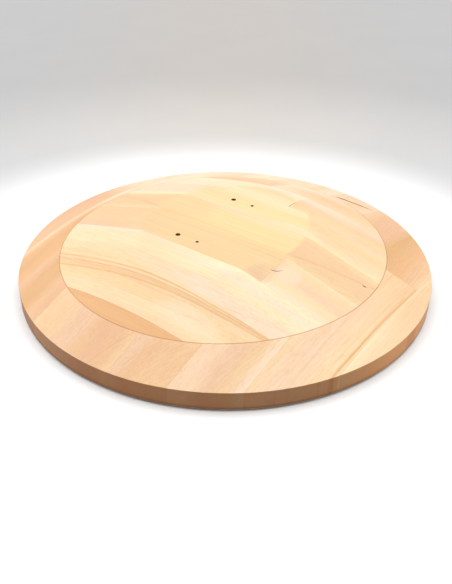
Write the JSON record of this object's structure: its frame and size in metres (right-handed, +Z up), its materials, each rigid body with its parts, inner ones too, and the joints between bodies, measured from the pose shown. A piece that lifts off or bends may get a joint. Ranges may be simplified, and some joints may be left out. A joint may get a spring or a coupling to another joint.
{
  "type": "lazy susan turntable",
  "caption": "Large round wooden turntable: a cross-laminated platter, turned to a shallow cone with a flat oval top, spinning on a ball bearing and a footed base board.",
  "frame": {"origin": "on the spin axis, in the plane that the feet stand on; centre of the bottom of the bounding box", "axes": "+Z up along the spin axis; the viewer of the front stands on the -Y side with +X to the right; the oval top's long axis is turned 54.2 degrees from +X towards +Y"},
  "size_m": [0.45, 0.45, 0.0644],
  "materials": {
    "wood_cream": "fine sanded, unfinished or clear satin",
    "wood_honey": "fine sanded, unfinished or clear satin",
    "wood_peach": "fine sanded, unfinished or clear satin",
    "wood_orange": "fine sanded, unfinished or clear satin",
    "wood_base": "sanded board",
    "foot_rubber": "matte",
    "screw_steel": "zinc plated",
    "plate_steel": "zinc plated, pressed",
    "eyelet_brass": "satin",
    "cage_nylon": "matte",
    "ball_steel": "polished"
  },
  "bodies": {
    "base": {"base_board": "wood_base", "rubber_foot_1": "foot_rubber", "rubber_foot_2": "foot_rubber", "rubber_foot_3": "foot_rubber", "rubber_foot_4": "foot_rubber", "foot_screw_1": "screw_steel", "foot_screw_2": "screw_steel", "foot_screw_3": "screw_steel", "foot_screw_4": "screw_steel", "base_plate_screw_1": "screw_steel", "base_plate_screw_2": "screw_steel", "base_plate_screw_3": "screw_steel", "base_plate_screw_4": "screw_steel", "bearing_lower_plate": "plate_steel", "centre_eyelet": "eyelet_brass"},
    "cage": {"ball_cage": "cage_nylon", "ball_01": "ball_steel", "ball_02": "ball_steel", "ball_03": "ball_steel", "ball_04": "ball_steel", "ball_05": "ball_steel", "ball_06": "ball_steel", "ball_07": "ball_steel", "ball_08": "ball_steel", "ball_09": "ball_steel", "ball_10": "ball_steel", "ball_11": "ball_steel", "ball_12": "ball_steel"},
    "platter": {"lower_stave_01": "wood_cream", "lower_stave_02": "wood_cream", "lower_stave_03": "wood_orange", "lower_stave_04": "wood_honey", "lower_stave_05": "wood_peach", "lower_stave_06": "wood_peach", "lower_stave_07": "wood_orange", "lower_stave_08": "wood_peach", "lower_stave_09": "wood_orange", "lower_stave_10": "wood_cream", "lower_stave_11": "wood_peach", "lower_stave_12": "wood_honey", "upper_stave_01": "wood_orange", "upper_stave_02": "wood_cream", "upper_stave_03": "wood_cream", "upper_stave_04": "wood_cream", "upper_stave_05": "wood_peach", "upper_stave_06": "wood_honey", "upper_stave_07": "wood_peach", "upper_stave_08": "wood_cream", "upper_stave_09": "wood_peach", "upper_stave_10": "wood_cream", "upper_stave_11": "wood_honey", "upper_stave_12": "wood_peach", "bearing_upper_plate": "plate_steel", "platter_plate_screw_1": "screw_steel", "platter_plate_screw_2": "screw_steel", "platter_plate_screw_3": "screw_steel", "platter_plate_screw_4": "screw_steel"}
  },
  "joints": [
    {"name": "platter_spin", "type": "hinge", "parent": "base", "child": "platter", "pos_m": [0, 0, 0.0183], "axis": [0, 0, 1], "continuous": true},
    {"name": "cage_spin", "type": "hinge", "parent": "base", "child": "cage", "pos_m": [0, 0, 0.0183], "axis": [0, 0, 1], "continuous": true}
  ],
  "couplings": [
    {"joint": "cage_spin", "follows": "platter_spin", "ratio": 0.5}
  ]
}
